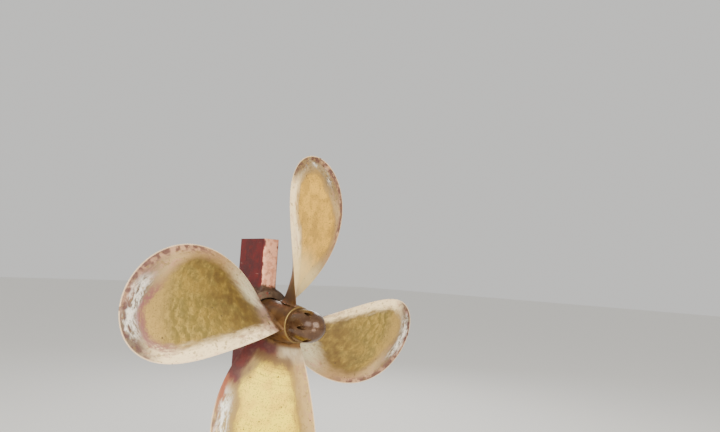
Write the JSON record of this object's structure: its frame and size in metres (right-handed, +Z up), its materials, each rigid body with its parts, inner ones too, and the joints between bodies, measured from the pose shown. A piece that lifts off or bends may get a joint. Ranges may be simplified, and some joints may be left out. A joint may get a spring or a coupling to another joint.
{
  "type": "four-bladed ship propeller with stern gear",
  "caption": "Right-handed bronze fixed-pitch propeller on its tail shaft, turning in a stern tube held by a cast stern-frame boss.",
  "frame": {"origin": "centre of the flat butt face on top of the upper post stub, 420 mm above the shaft axis", "axes": "+Y forward along the shaft to its coupling face, +Z up out of the upper butt face, +X to starboard"},
  "size_m": [1.6938, 1.3643, 1.6938],
  "materials": {
    "propeller_bronze": "cast and ground bronze, mottled, chalky toward the blade edges",
    "dull_bronze": "dull cast bronze",
    "turned_bronze": "turned bronze",
    "cap_bronze": "dark brown glossy film over bronze",
    "steel": "turned steel",
    "boss_paint": "brown primer, worn",
    "rubber": "moulded rubber",
    "packing": "greased plaited flax"
  },
  "bodies": {
    "stern_frame": {"stern_frame_boss": "boss_paint", "stern_tube": "steel", "stern_tube_nut": "steel", "bearing_bush": "turned_bronze", "bearing_staves": "rubber", "bush_keeper_ring": "steel", "rope_guard_upper": "boss_paint", "rope_guard_lower": "boss_paint", "guard_screw_upper_1": "steel", "guard_screw_upper_2": "steel", "guard_screw_upper_3": "steel", "guard_screw_lower_1": "steel", "guard_screw_lower_2": "steel", "guard_screw_lower_3": "steel", "stuffing_box": "dull_bronze", "box_bolt_1": "steel", "box_bolt_2": "steel", "box_bolt_3": "steel", "box_bolt_4": "steel", "box_bolt_5": "steel", "box_bolt_6": "steel", "gland_packing_1": "packing", "gland_packing_2": "packing", "gland_packing_3": "packing", "gland_follower": "dull_bronze", "gland_stud_1": "steel", "gland_stud_2": "steel", "gland_stud_3": "steel"},
    "propeller_shaft": {"propeller_casting": "propeller_bronze", "tail_shaft": "steel", "propeller_key": "steel", "propeller_nut": "dull_bronze", "nut_lock_plate": "steel", "lock_screw_1": "steel", "lock_screw_2": "steel", "boss_cap": "cap_bronze", "cap_bolt_1": "dull_bronze", "cap_bolt_2": "dull_bronze", "cap_bolt_3": "dull_bronze", "cap_bolt_4": "dull_bronze", "cap_bolt_5": "dull_bronze", "cap_bolt_6": "dull_bronze", "shaft_liner": "turned_bronze", "hub_seal_ring": "rubber"}
  },
  "joints": [
    {"name": "shaft_spin", "type": "hinge", "parent": "stern_frame", "child": "propeller_shaft", "pos_m": [0, -0.333, -0.42], "axis": [0, 1, 0], "continuous": true}
  ]
}
